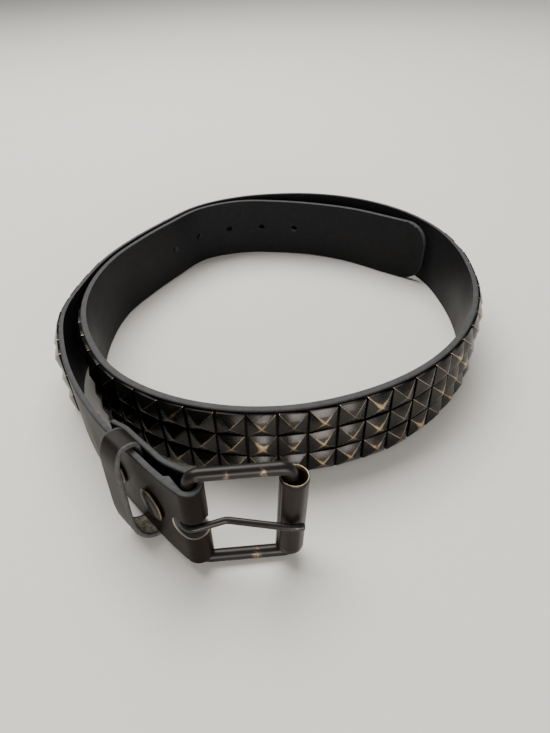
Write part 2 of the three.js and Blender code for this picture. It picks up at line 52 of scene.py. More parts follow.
# The route: degrees round the loop, share of the loop's radius, layer (-1 inner turn, 1 outer),
# share of the stud height made room for, and the lean, outward per millimetre of height
route = {
    "loopDiameter": 214, "turnGap": 0.5, "riseLength": 130, "riseBend": 2.6, "liftGap": 0.6,
    "measuredStep": 0.5, "reach": 1, "layer": 2, "apart": 3, "lean": 4,
    "rows": [
        (30, 1.04, -1, 0, 0.02), (45, 0.968, -1, 0, 0.035), (60, 0.953, -1, 0, 0),
        (75, 0.955, -1, 0, -0.035), (90, 0.979, -1, 0, -0.015), (105, 1.027, -1, 0, 0),
        (120, 1.035, -1, 0, -0.03), (135, 0.974, -1, 0, 0), (150, 0.957, -1, 0, 0.015),
        (165, 0.977, -1, 0, 0.02), (180, 1.005, -1, -0.3, 0.05), (195, 1.033, -1, -0.5, 0.04),
        (210, 1.048, -1, -0.5, 0.02), (225, 1.05, -0.5, -0.3, 0), (240, 1.02, 0, 0, 0),
        (255, 1, 0, 0, 0), (270, 0.978, 0, 0, 0), (285, 0.96, 0, 0, -0.015),
        (300, 0.953, 0, 0, -0.02), (330, 0.955, 0, 0, 0), (360, 0.98, 0, 0, 0.03),
        (375, 1.002, 0.5, 0, 0.05), (390, 1.04, 1, 0, 0.02), (405, 1.068, 1, 0, 0),
        (420, 1.075, 1, 0, 0), (435, 1.074, 1, 0, -0.02), (450, 1.061, 1, 0, -0.015),
        (465, 1.053, 1, 0, 0), (480, 1.038, 1, 0, -0.03), (495, 0.976, 1, 0, 0),
        (510, 0.96, 1, 0, 0.015), (525, 0.979, 1, 0, 0.02), (540, 0.993, 1, 0.3, 0.05),
        (555, 1.05, 1, 0.5, 0.03), (570, 1.093, 1, 0.5, 0), (585, 1.168, 0.5, 0.3, 0),
        (598, 1.265, 0, 0, 0), (606, 1.332, 0, 0, 0), (611, 1.391, 0, 0, 0),
        (615.5, 1.449, 0, 0, 0),
    ],
}
strap = {
    "width": 40, "thickness": 3.4, "ply": 2.6, "edgeRound": 1.1, "edgeSegments": 4, "rimAngle": 60,
    "tipCorner": 14, "tipSegments": 12, "tipStations": 4, "stepSetback": 9.5, "station": 2.5,
    "longShare": 0.6, "foldCuts": 24,
}
studs = {
    "pitch": 12.7, "rows": 3, "height": 4.1, "plate": 0.9, "gap": 0.3, "groove": 0.36,
    "setback": 298, "stop": 101, "cuts": 1, "crown": 1.25, "ridgeRound": 0.3, "ridgeSegments": 2,
    "footClear": 0.05, "footShadeMark": 1.3, "seed": 11, "tilt": 1.3, "stray": 0.1,
    "wornLeast": 0.05, "wornMost": 1.0, "wornPower": 1.7,
}
buckle = {
    "wire": 5, "innerHeight": 42, "reach": 35.9, "bend": 4, "turn": 45.5, "lean": 2.6,
    "barGap": 0.4, "sides": 28, "step": 1.2, "bendStep": 8,
}
keeper = {
    "length": 13, "setback": 31, "slant": 8.5, "thickness": 1.9, "inner": 1.2, "bulge": 8,
    "gap": 0.45, "seat": 0.3, "edgeRound": 0.5, "edgeSegments": 6, "steps": 150, "across": 14,
    "ahead": 0.001,
    # Its middle line round the strap: side (-1 inner, 1 outer), share of the strap's width,
    # over the strap's edge in clearances, share of the full thickness
    "rows": [
        (-1, 0.06, 0, 0), (-1, 0.5, 0, 0), (-1, 0.93, 0, 0), (-1, 1, 0.1, 0.2),
        (-0.75, 1, 1.2, 0.6), (-0.3, 1, 1.75, 1), (0.1, 1, 2, 1), (0.41, 1, 1.75, 1),
        (0.65, 0.985, 0, 1), (0.77, 0.91, 0, 1), (0.86, 0.74, 0, 1), (0.95, 0.5, 0, 1),
        (1.01, 0.29, 0, 1), (0.94, 0.14, 0, 1), (0.66, 0.03, 0, 1), (0.3, 0, -0.8, 1),
        (-0.1, 0, -1.15, 1), (-0.6, 0, -1.05, 0.8), (-1, 0, -0.3, 0.2),
    ],
}
snap = {
    "cap": 14, "capHeight": 1.8, "post": 4, "back": 10, "backThickness": 1,
    "frontSpacing": 4, "rearSpacing": 5.5, "seat": 0.45, "flapMargin": 1.2, "sides": 56,
    "corner": 0.3, "blunt": 0.2, "inset": 0.25,
    # Rolled rim: in from the cap's radius, share of the cap's height
    "rim": [(0, 0.3), (0.25, 0.44), (0.7, 0.5), (0.95, 0.47)],
    # Dome: share of the cap's radius, share of the cap's height
    "dome": [(0.8, 0.68), (0.6, 0.87), (0.35, 0.97), (0, 1)],
}

halfStrap = strap["thickness"] / 2
plyInner = halfStrap - strap["ply"]
wireRadius = buckle["wire"] / 2
foldInner = wireRadius + buckle["barGap"]
foldOuter = foldInner + strap["ply"]
foldMiddle = (foldInner + foldOuter) / 2
foldLength = math.pi * foldMiddle
leanSlope = math.tan(math.radians(buckle["lean"]))
lift = buckle["wire"] + route["liftGap"]


def easeBetween(share):
    x = min(1, max(0, share))
    return x * x * (3 - 2 * x)


# Cubic from low to high that leaves and arrives with the given slopes
def curveBetween(x, low, high, leave, arrive):
    ends = low * (2 * x**3 - 3 * x**2 + 1) + high * (3 * x**2 - 2 * x**3)
    return ends + leave * (x**3 - 2 * x**2 + x) + arrive * (x**3 - x**2)


def columnAt(column, value):
    rows = route["rows"]
    i = 0
    while i < len(rows) - 2 and rows[i + 1][0] < value:
        i += 1

    def slope(k):
        low, high = rows[max(k - 1, 0)], rows[min(k + 1, len(rows) - 1)]
        return (high[column] - low[column]) / (high[0] - low[0])

    span = rows[i + 1][0] - rows[i][0]
    x = (value - rows[i][0]) / span
    low, high = rows[i][column], rows[i + 1][column]
    return curveBetween(x, low, high, slope(i) * span, slope(i + 1) * span)


def routePoint(angle):
    spread = columnAt(route["layer"], angle) * (strap["thickness"] + route["turnGap"]) / 2
    room = columnAt(route["apart"], angle) * studs["height"]
    radius = columnAt(route["reach"], angle) * route["loopDiameter"] / 2 + spread + room
    return Vector((math.cos(math.radians(angle)), math.sin(math.radians(angle)))) * radius


step = route["measuredStep"]
lastAngle = route["rows"][-1][0]
angles, runs = [route["rows"][0][0]], [0.0]
while angles[-1] + step <= lastAngle:
    runs.append(runs[-1] + (routePoint(angles[-1] + step) - routePoint(angles[-1])).length)
    angles.append(angles[-1] + step)
strapRun = runs[-1]


def alongRoute(angle):
    ahead = routePoint(min(angle + step / 2, lastAngle))
    return (ahead - routePoint(angle - step / 2)).normalized()


endDirection = alongRoute(lastAngle)
heading = math.atan2(endDirection.y, endDirection.x) + math.radians(buckle["turn"])
backward = Vector((-math.sin(heading), math.cos(heading)))


# Where the strap's middle is at a run from its tip, which way it faces, leans and rises
@functools.lru_cache(maxsize=None)
def placeAt(run):
    i = min(max(bisect.bisect_left(runs, run) - 1, 0), len(runs) - 2)
    angle = angles[i] + (run - runs[i]) / (runs[i + 1] - runs[i]) * step
    along = alongRoute(angle)
    normal = Vector((along.y, -along.x))
    near = max(0, 1 - (strapRun - run) / route["riseLength"]) ** route["riseBend"]
    lean = normal * columnAt(route["lean"], angle) + backward * (leanSlope * near)
    return routePoint(angle), normal, lean, lift * near


def pointAt(place, out, height):
    point, normal, lean, rise = place
    flat = point + normal * out + lean * (height - strap["width"] / 2)
    return Vector((flat.x, flat.y, rise + height))


keeperNear = keeper["setback"] - keeper["length"] / 2
keeperFar = keeper["setback"] + keeper["length"] / 2
snapFront = keeperNear - snap["frontSpacing"] - snap["post"] / 2
snapRear = keeperFar + snap["rearSpacing"] + snap["post"] / 2
flapLength = snapRear + snap["back"] / 2 + snap["flapMargin"]
endPlace = placeAt(strapRun)
endNormal = endPlace[1]
endAlong = Vector((-endNormal.y, endNormal.x))
heelAxis = endPlace[0] + endNormal * (halfStrap - foldOuter)


def flapOut(behind):
    atBar = halfStrap - foldOuter - foldMiddle
    atKeeper = -(halfStrap + keeper["inner"] + 2 * keeper["gap"] + strap["ply"] / 2)
    atEnd = -(halfStrap + keeper["seat"] + strap["ply"] / 2)
    keeperTop = keeperFar + keeper["slant"] / 2
    closing = easeBetween(behind / (keeperNear - keeper["slant"] / 2))
    ending = easeBetween((behind - keeperTop) / (flapLength - keeperTop))
    return atBar + (atKeeper - atBar) * closing + (atEnd - atKeeper) * ending


# Lays a point of the flat strap on the route, round the fold or back along the flap. Runs are
# rounded, so that the cache of placeAt holds each of them once.
def wind(flat):
    run, out, height = round(flat.x, 4), flat.y, flat.z
    beyond = run - strapRun
    if beyond <= 0:
        return pointAt(placeAt(run), out, height)
    if beyond < foldLength:
        turn = beyond / foldMiddle
        normal = endNormal * math.cos(turn) + endAlong * math.sin(turn)
        folded = (heelAxis, normal, endPlace[2], endPlace[3])
        return pointAt(folded, foldOuter - halfStrap + out, height)
    behind = beyond - foldLength
    outOfFlap = flapOut(behind) + halfStrap - strap["ply"] / 2 - out
    return pointAt(placeAt(round(strapRun - behind, 4)), outOfFlap, height)


def addObject(name, data):
    made = bpy.data.objects.new(name, data)
    bpy.context.scene.collection.objects.link(made)
    return made


def meshFrom(name, bm):
    mesh = bpy.data.meshes.new(name)
    bm.to_mesh(mesh)
    bm.free()
    return mesh


def faceOutward(bm):
    bmesh.ops.recalc_face_normals(bm, faces=bm.faces)
    if bm.calc_volume(signed=True) < 0:
        bmesh.ops.reverse_faces(bm, faces=bm.faces)


# Marks are rules that give each point, or face, of the unplaced shape its wear, its side or a
# painted highlight
def finishPiece(name, bm, placing, marks, body, node, material, sharp=40, byFace=False):
    faceOutward(bm)
    bm.normal_update()
    for label, rule in marks.items():
        layer = (bm.faces if byFace else bm.verts).layers.float.new(label)
        for part in bm.faces if byFace else bm.verts:
            part[layer] = rule(part.calc_center_median() if byFace else part.co, part.normal)
    for vert in bm.verts:
        vert.co = (placing(vert.co) + beltShift) * mm
    faceOutward(bm)
    mesh = meshFrom(name, bm)
    mesh.shade_smooth()
    mesh.set_sharp_from_angle(angle=math.radians(sharp))
    mesh.materials.append(material)
    piece = addObject(name, mesh)
    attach(piece, body)
    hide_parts(node)
    print("stage:", name)
    return piece


# sRGB hex to the linear colour that shaders take
def linear(code):
    channels = [int(code[i:i + 2], 16) / 255 for i in (1, 3, 5)]
    return [c / 12.92 if c <= 0.04045 else ((c + 0.055) / 1.055) ** 2.4 for c in channels] + [1]


inColour = {"out": 2, "data_type": "RGBA"}  # makes a Mix node mix colours


# Adds a node, sets or links its inputs, colours as hex, and gives back one of its outputs
def node(tree, kind, inputs, out=0, **settings):
    made = tree.nodes.new("ShaderNode" + kind)
    for key, value in settings.items():
        setattr(made, key, value)
    for key, value in inputs.items():
        if isinstance(value, bpy.types.NodeSocket):
            tree.links.new(value, made.inputs[key])
        else:
            made.inputs[key].default_value = linear(value) if isinstance(value, str) else value
    return made.outputs[out]


def startMaterial(name):
    material = bpy.data.materials.new(name)
    material.use_nodes = True
    tree = material.node_tree
    tree.nodes.remove(tree.nodes["Principled BSDF"])
    return material, tree


def shadeWith(tree, inputs, layers):
    normal = None
    for height, depth in layers:
        bump = {"Height": height, "Distance": depth * mm, "Strength": 1}
        if normal:
            bump["Normal"] = normal
        normal = node(tree, "Bump", bump)
    surface = node(tree, "BsdfPrincipled", {**inputs, "Normal": normal})
    tree.links.new(surface, tree.nodes["Material Output"].inputs["Surface"])


noiseLow, noiseHigh = 0.3, 0.7  # where most values of a noise lie
fray = 0.7  # noise roughness that frays the edges of worn places


# Finished split leather: pigment coat rolled smooth, so satin dark faces; the cut edges stay raw,
# so they are matt and a paler grey
def finishedLeather(name, look):
    material, tree = startMaterial(name)
    place = node(tree, "TexCoord", {}, out=3)
    edge, inner, cut = [node(tree, "Attribute", {}, out=2, attribute_name=label)
                        for label in ("edge", "inner", "cut")]
    cloud = node(tree, "TexNoise", {"Vector": place, "Scale": 1 / (look["cloud"] * mm),
                                    "Detail": 3})
    grain = node(tree, "TexVoronoi", {"Vector": place, "Scale": 1 / (look["pebble"] * mm)})
    fine = node(tree, "TexNoise", {"Vector": place, "Scale": 1 / (look["fibre"] * mm),
                                   "Detail": 5, "Roughness": look["fibreFray"]})
    scuff = node(tree, "TexNoise", {"Vector": place, "Scale": 1 / (look["scuff"] * mm),
                                    "Detail": 6, "Roughness": fray})
    rawShare = node(tree, "MapRange", {0: scuff, 1: 0.5 - look["mottle"], 2: 0.5 + look["mottle"]})
    outerFace = node(tree, "Mix", {0: cloud, 6: look["outerDark"], 7: look["outerLight"]},
                     **inColour)
    innerFace = node(tree, "Mix", {0: rawShare, 6: look["innerDark"], 7: look["innerLight"]},
                     **inColour)
    face = node(tree, "Mix", {0: inner, 6: outerFace, 7: innerFace}, **inColour)
    scuffed = node(tree, "MapRange", {0: scuff, 1: look["scuffFrom"], 2: look["scuffTo"], 3: 0,
                                      4: look["scuffShare"]})
    face = node(tree, "Mix", {0: scuffed, 6: face, 7: look["dust"]}, **inColour)
    raw = node(tree, "Mix", {0: rawShare, 6: look["rawDark"], 7: look["rawLight"]}, **inColour)
    ragged = node(tree, "Math", {0: fine, 1: look["ragged"], 2: -look["ragged"] / 2},
                  operation="MULTIPLY_ADD")
    edgeSum = node(tree, "Math", {0: edge, 1: ragged}, operation="ADD")
    onEdge = node(tree, "MapRange", {0: edgeSum, 1: look["edgeFrom"], 2: look["edgeTo"]})
    colour = node(tree, "Mix", {0: onEdge, 6: face, 7: raw}, **inColour)
    # Painted highlight: the slot's outer rim, marked cut, is painted pale where light catches it
    colour = node(tree, "Mix", {0: cut, 6: colour, 7: look["slotRimHighlight"]}, **inColour)
    faceRough = node(tree, "MapRange", {0: cloud, 1: noiseLow, 2: noiseHigh, 3: look["roughLow"],
                                        4: look["roughHigh"]})
    rough = node(tree, "Mix", {0: onEdge, 2: faceRough, 3: look["rawRough"]})
    napped = node(tree, "Math", {0: inner, 1: look["nap"], 2: 1}, operation="MULTIPLY_ADD")
    fibres = node(tree, "Math", {0: fine, 1: napped}, operation="MULTIPLY")
    reliefs = [(cloud, look["cloudDepth"]), (grain, look["pebbleDepth"]),
               (fibres, look["fibreDepth"])]
    shadeWith(tree, {"Base Color": colour, "Roughness": rough, "IOR": 1.5,
                     "Specular IOR Level": look["specular"]}, reliefs)
    return material


# Brass pressed to pyramids and black-plated: dark satin metal, its ridges and tips rubbed bare;
# painted highlight and shade too
def rubbedStuds(name, look):
    material, tree = startMaterial(name)
    place = node(tree, "TexCoord", {}, out=3)
    across, upward, worn = [node(tree, "Attribute", {}, out=2, attribute_name=label)
                            for label in ("across", "upward", "worn")]
    # Partly painted light: the upper half of each stud gets more bare metal and more of the
    # painted ridge highlight, where light catches it
    upperWearAndHighlight = node(tree, "MapRange", {0: upward, 1: look["lowFrom"], 2: look["lowTo"],
                                     3: look["lowShare"], 4: 1})
    across = node(tree, "Math", {0: across}, operation="ABSOLUTE")
    upward = node(tree, "Math", {0: upward}, operation="ABSOLUTE")
    far = node(tree, "Math", {0: across, 1: upward}, operation="MAXIMUM")
    offRidge = node(tree, "Math", {0: across, 1: upward}, operation="SUBTRACT")
    offRidge = node(tree, "Math", {0: offRidge}, operation="ABSOLUTE")
    patch = node(tree, "TexNoise", {"Vector": place, "Scale": 1 / (look["patch"] * mm),
                                    "Detail": 3})
    fine = node(tree, "TexNoise", {"Vector": place, "Scale": 1 / (look["scratch"] * mm),
                                   "Detail": 6, "Roughness": fray})
    apex = node(tree, "MapRange", {0: far, 1: look["apexReach"], 2: 0, 3: 0, 4: look["apexWidth"]},
                interpolation_type="SMOOTHSTEP")
    width = node(tree, "Math", {0: apex, 1: look["ridgeWidth"]}, operation="ADD")
    patchy = node(tree, "MapRange", {0: patch, 1: look["patchFrom"], 2: look["patchTo"],
                                     3: look["patchLow"], 4: look["patchHigh"]})
    for factor in (patchy, worn, upperWearAndHighlight):
        width = node(tree, "Math", {0: width, 1: factor}, operation="MULTIPLY")
    ragged = node(tree, "Math", {0: fine, 1: look["ragged"], 2: -look["ragged"] / 2},
                  operation="MULTIPLY_ADD")
    margin = node(tree, "Math", {0: width, 1: offRidge}, operation="SUBTRACT")
    margin = node(tree, "Math", {0: margin, 1: ragged}, operation="ADD")
    bare = node(tree, "MapRange", {0: margin, 1: look["bareFrom"], 2: look["bareTo"]})
    metal = node(tree, "Mix", {0: fine, 6: look["bareDark"], 7: look["bareLight"]}, **inColour)
    plate = node(tree, "Mix", {0: patch, 6: look["plateDark"], 7: look["plateLight"]},
                 **inColour)
    # Painted shade: the stud's rim and foot go near black, for the shade in the gaps between studs
    foot = node(tree, "MapRange", {0: far, 1: look["footShadeFrom"], 2: look["footShadeTo"]})
    plate = node(tree, "Mix", {0: foot, 6: plate, 7: look["foot"]}, **inColour)
    colour = node(tree, "Mix", {0: bare, 6: plate, 7: metal}, **inColour)
    # Painted highlight: a pale line along the ridges, where they catch the light
    line = node(tree, "MapRange", {0: offRidge, 1: look["ridgeHighlightWidth"], 2: 0, 3: 0,
                                   4: look["ridgeHighlightShare"]})
    line = node(tree, "Math", {0: line, 1: patchy}, operation="MULTIPLY", use_clamp=True)
    line = node(tree, "Math", {0: line, 1: upperWearAndHighlight}, operation="MULTIPLY")
    colour = node(tree, "Mix", {0: line, 6: colour, 7: look["line"]}, **inColour)
    plateRough = node(tree, "MapRange", {0: fine, 1: noiseLow, 2: noiseHigh, 3: look["roughLow"],
                                         4: look["roughHigh"]})
    rough = node(tree, "Mix", {0: bare, 2: plateRough, 3: look["bareRough"]})
    shadeWith(tree, {"Base Color": colour, "Roughness": rough, "Metallic": look["metallic"]},
              [(patch, look["patchDepth"]), (fine, look["scratchDepth"])])
    return material


# Black lacquer on metal: half gloss, rubbed through to bare metal where parts touch
def lacqueredMetal(name, look):
    material, tree = startMaterial(name)
    place = node(tree, "TexCoord", {}, out=3)
    worn = node(tree, "Attribute", {}, out=2, attribute_name="worn")
    cloud = node(tree, "TexNoise", {"Vector": place, "Scale": 1 / (look["cloud"] * mm),
                                    "Detail": 3})
    fine = node(tree, "TexNoise", {"Vector": place, "Scale": 1 / (look["scratch"] * mm),
                                   "Detail": 6, "Roughness": fray})
    ragged = node(tree, "Math", {0: fine, 1: look["ragged"], 2: -look["ragged"] / 2},
                  operation="MULTIPLY_ADD")
    total = node(tree, "Math", {0: worn, 1: ragged}, operation="ADD")
    bare = node(tree, "MapRange", {0: total, 1: look["bareFrom"], 2: look["bareTo"]})
    paint = node(tree, "Mix", {0: cloud, 6: look["paintDark"], 7: look["paintLight"]},
                 **inColour)
    metal = node(tree, "Mix", {0: fine, 6: look["bareDark"], 7: look["bareLight"]}, **inColour)
    colour = node(tree, "Mix", {0: bare, 6: paint, 7: metal}, **inColour)
    paintRough = node(tree, "MapRange", {0: cloud, 1: noiseLow, 2: noiseHigh, 3: look["roughLow"],
                                         4: look["roughHigh"]})
    rough = node(tree, "Mix", {0: bare, 2: paintRough, 3: look["bareRough"]})
    metallic = node(tree, "Mix", {0: bare, 2: look["paintMetal"], 3: 1.0})
    shadeWith(tree, {"Base Color": colour, "Roughness": rough, "Metallic": metallic,
                     "Specular IOR Level": look["specular"]},
              [(cloud, look["cloudDepth"]), (fine, look["scratchDepth"])])
    return material


# Strap: a flat blank is rounded at the tip, skived, edge-rounded, punched, then wound
holes = {"count": 5, "spacing": 24, "diameter": 4.8, "setback": 96, "sides": 32}
slot = {
    "behind": 6, "height": 8.6, "roundShare": 0.98, "roundSegments": 10, "rimHighlightDepth": 0.6,
    "around": 0.1, "wallTilt": 0.3,
}
# Pattern sizes are millimetres; the real fibres are finer, about 0.1, and wouldn't show
strapLook = {
    "outerDark": "#0a0503", "outerLight": "#140a06", "innerDark": "#141415",
    "innerLight": "#1d1d1f", "dust": "#302a25", "rawDark": "#393a3b", "rawLight": "#4f5051",
    "slotRimHighlight": "#948a7d", "cloud": 24, "cloudDepth": 0.3, "pebble": 1.0, "pebbleDepth": 0.035,
    "fibre": 0.5, "fibreDepth": 0.015, "fibreFray": 0.65, "nap": 0, "scuff": 3,
    "scuffFrom": 0.58, "scuffTo": 0.78, "scuffShare": 0.1, "mottle": 0.3, "ragged": 0.14,
    "edgeFrom": 0.1, "edgeTo": 0.3, "roughLow": 0.34, "roughHigh": 0.46, "rawRough": 0.5,
    "specular": 0.08,
}


def bisectAt(bm, place, along=(1, 0, 0)):
    everything = bm.verts[:] + bm.edges[:] + bm.faces[:]
    bmesh.ops.bisect_plane(bm, geom=everything, plane_co=Vector(along) * place, plane_no=along)


def bevelEdges(bm, edges, offset, segments):
    bmesh.ops.bevel(bm, geom=edges, offset=offset, offset_type="OFFSET", segments=segments,
                    profile=0.5, affect="EDGES", material=-1)


# Runs along the strap for most of a stretch, so it is to be divided there
def isLong(edge, start, stop):
    low, high = sorted(v.co.x for v in edge.verts)
    least = max((stop - start) * strap["longShare"], strap["station"])
    return high - low > least and start < (low + high) / 2 < stop


def cutBlank():
    bm = bmesh.new()
    bmesh.ops.create_cube(bm, size=1)
    length = strapRun + foldLength + flapLength
    bmesh.ops.scale(bm, vec=(length, strap["thickness"], strap["width"]), verts=bm.verts)
    bmesh.ops.translate(bm, vec=(length / 2, 0, strap["width"] / 2), verts=bm.verts)
    corners = [e for e in bm.edges if all(v.co.x < length / 2 for v in e.verts)
               and e.verts[0].co.z == e.verts[1].co.z]
    bevelEdges(bm, corners, strap["tipCorner"], strap["tipSegments"])
    stepRun = strapRun - strap["stepSetback"]
    skived = stepRun + strap["thickness"] - strap["ply"]
    for k in range(1, strap["tipStations"] + 1):
        bisectAt(bm, strap["tipCorner"] * k / strap["tipStations"])
    for run in (stepRun, skived, strapRun, strapRun + foldLength):
        bisectAt(bm, run)
    for vert in bm.verts:
        if vert.co.x > skived - tolerance and vert.co.y < 0:
            vert.co.y = plyInner
    rims = [e for e in bm.edges if e.calc_face_angle(0) > math.radians(strap["rimAngle"])]
    bevelEdges(bm, rims, strap["edgeRound"], strap["edgeSegments"])
    stretches = [
        (strap["tipCorner"], stepRun, strap["station"]), (skived, strapRun, strap["station"]),
        (strapRun, strapRun + foldLength, foldLength / strap["foldCuts"]),
        (strapRun + foldLength, length, strap["station"]),
    ]
    for start, stop, station in stretches:
        within = [e for e in bm.edges if isLong(e, start, stop)]
        cuts = math.ceil((stop - start) / station) - 1
        bmesh.ops.subdivide_edges(bm, edges=within, cuts=cuts, use_grid_fill=True)
    return bm


# Cuts the blank with the punches, then mends the slivers that a cut can leave
def cutWith(bm, cutters):
    body = addObject("blank", meshFrom("blank", bm))
    tools = [addObject("punch", meshFrom("punch", cutter)) for cutter in cutters]
    for tool in tools:
        modifier = body.modifiers.new("punch", "BOOLEAN")
        modifier.operation = "DIFFERENCE"
        modifier.solver = "EXACT"
        modifier.object = tool
    bpy.context.view_layer.update()
    shape = body.evaluated_get(bpy.context.evaluated_depsgraph_get())
    cut = bmesh.new()
    cut.from_mesh(bpy.data.meshes.new_from_object(shape))
    for unused in (body, *tools):
        bpy.data.objects.remove(unused)
    bmesh.ops.remove_doubles(cut, verts=cut.verts, dist=tolerance)
    bmesh.ops.dissolve_degenerate(cut, edges=cut.edges, dist=tolerance)
    bmesh.ops.holes_fill(cut, edges=[e for e in cut.edges if e.is_boundary])
    return cut


def holePunch(run):
    bm = bmesh.new()
    radius = holes["diameter"] / 2
    aim = Matrix.Translation((run, 0, strap["width"] / 2)) @ Matrix.Rotation(math.pi / 2, 4, "X")
    bmesh.ops.create_cone(bm, cap_ends=True, segments=holes["sides"], radius1=radius,
                          radius2=radius, depth=strap["thickness"] * 2, matrix=aim)
    return bm


def slotPunch():
    bm = bmesh.new()
    bmesh.ops.create_cube(bm, size=1)
    length = foldLength + 2 * slot["behind"]
    bmesh.ops.scale(bm, vec=(length, strap["thickness"] * 2, slot["height"]), verts=bm.verts)
    bmesh.ops.translate(bm, vec=(strapRun + foldLength / 2, 0, strap["width"] / 2), verts=bm.verts)
    upright = [e for e in bm.edges if e.verts[0].co.y != e.verts[1].co.y]
    bevelEdges(bm, upright, slot["height"] / 2 * slot["roundShare"], slot["roundSegments"])
    for k in range(strap["foldCuts"] + 1):
        bisectAt(bm, strapRun + foldLength * k / strap["foldCuts"])
    bisectAt(bm, halfStrap - slot["rimHighlightDepth"], (0, 1, 0))
    return bm


def edgeMark(co, normal):
    return 1 - abs(normal.y)


def innerMark(co, normal):
    return 1.0 if normal.y < 0 else 0.0


# The outer rim of the slot's cut, painted pale as a painted highlight where light catches it
def slotHighlightMark(co, normal):
    alongSlot = co.x > strapRun - slot["behind"] - slot["around"]
    inHeight = abs(co.z - strap["width"] / 2) < slot["height"] / 2 + slot["around"]
    onRim = abs(normal.y) < slot["wallTilt"] and co.y > halfStrap - slot["rimHighlightDepth"]
    return 1.0 if alongSlot and inHeight and onRim else 0.0


def makeStrap():
    punches = [holePunch(holes["setback"] + i * holes["spacing"]) for i in range(holes["count"])]
    bm = cutWith(cutBlank(), [slotPunch(), *punches])
    marks = {"edge": edgeMark, "inner": innerMark, "cut": slotHighlightMark}
    leather = finishedLeather("black_coated_split_leather", strapLook)
    piece = finishPiece("leather_strap", bm, wind, marks, "belt", "strap", leather,
                        sharp=50, byFace=True)
    # Keeps the wide faces' shading flat up to the rounded edges
    piece.modifiers.new("flat_faces", "WEIGHTED_NORMAL").keep_sharp = True


makeStrap()

# Studs: one pressed pyramid, set three to a column with the small misfits of hand setting.
# Scratches, on the other metal too, are drawn about ten times too wide so that they show.
# Here line is a painted highlight on the ridges, foot is painted shade at the studs' feet, and the
# low values give the lower half less bare metal and highlight
studLook = {
    "bareDark": "#5f4b34", "bareLight": "#cfb58d", "plateDark": "#292827", "plateLight": "#3b3937",
    "foot": "#0a0909", "footShadeFrom": 0.93, "footShadeTo": 1.02, "scratch": 0.9, "scratchDepth": 0.003,
    "patch": 11, "patchDepth": 0.15, "patchFrom": 0.35, "patchTo": 0.65, "patchLow": 0.2,
    "patchHigh": 1.3, "apexReach": 0.8, "apexWidth": 0.5, "ridgeWidth": 0.03, "ragged": 0.22,
    "bareFrom": -0.02, "bareTo": 0.24, "line": "#b7a78f", "ridgeHighlightWidth": 0.05, "ridgeHighlightShare": 0.6,
    "lowFrom": -0.5, "lowTo": 0.25, "lowShare": 0.3, "roughLow": 0.22, "roughHigh": 0.3,
    "bareRough": 0.33, "metallic": 0.9,
}


def pressStud():
    bm = bmesh.new()
    half = studs["pitch"] / 2 - studs["groove"]
    rise = studs["height"] - studs["plate"] - studs["gap"]
    upright = Matrix.Rotation(math.radians(45), 4, "Z") @ Matrix.Translation((0, 0, rise / 2))
    bmesh.ops.create_cone(bm, cap_ends=False, segments=4, radius1=half * math.sqrt(2), radius2=0,
                          depth=rise, matrix=upright)
    bmesh.ops.subdivide_edges(bm, edges=bm.edges[:], cuts=studs["cuts"], use_grid_fill=True)
    for vert in bm.verts:
        far = max(abs(vert.co.x), abs(vert.co.y)) / half
        vert.co.z = rise * (1 - far ** studs["crown"])
    ridges = [e for e in bm.edges if all(abs(abs(v.co.x) - abs(v.co.y)) < weld for v in e.verts)]
    bevelEdges(bm, ridges, studs["ridgeRound"], studs["ridgeSegments"])
    rim = [e for e in bm.edges if e.is_boundary]
    foot = bmesh.ops.extrude_edge_only(bm, edges=rim)["geom"]
    bottom = [v for v in foot if isinstance(v, bmesh.types.BMVert)]
    drop = -studs["plate"] - studs["gap"] + studs["footClear"]
    bmesh.ops.translate(bm, vec=(0, 0, drop), verts=bottom)
    bmesh.ops.holes_fill(bm, edges=[e for e in bm.edges if e.is_boundary])
    for label in ("across", "upward", "worn"):
        bm.verts.layers.float.new(label)
    across, upward = bm.verts.layers.float["across"], bm.verts.layers.float["upward"]
    for vert in bm.verts:
        # Points of the foot read as beyond the rim, so that the painted shade covers them
        below = studs["footShadeMark"] if vert.co.z < drop / 2 else 1
        vert[across] = vert.co.x / half * below
        vert[upward] = vert.co.y / half * below
    return meshFrom("one_stud", bm)


def studPlace(left, right, low, chance):
    top = halfStrap + studs["gap"] + studs["plate"]
    middle = low + studs["pitch"] / 2
    centre = (pointAt(left, top, middle) + pointAt(right, top, middle)) / 2
    along = (pointAt(right, top, middle) - pointAt(left, top, middle)).normalized()
    up = (pointAt(left, top, middle) - pointAt(left, top, low)).normalized()
    facing = up.cross(along).normalized()
    if facing.dot(left[1].to_3d()) < 0:
        facing = -facing
    up = facing.cross(along)
    turn = Matrix((along, up, facing)).transposed()
    turn = turn @ Matrix.Rotation(math.radians(chance.gauss(0, studs["tilt"])), 3, "Z")
    turn = turn @ Matrix.Rotation(math.radians(chance.gauss(0, studs["tilt"])), 3, "X")
    stray = turn @ Vector((chance.gauss(0, studs["stray"]), chance.gauss(0, studs["stray"]), 0))
    return Matrix.Translation(centre + stray) @ turn.to_4x4()


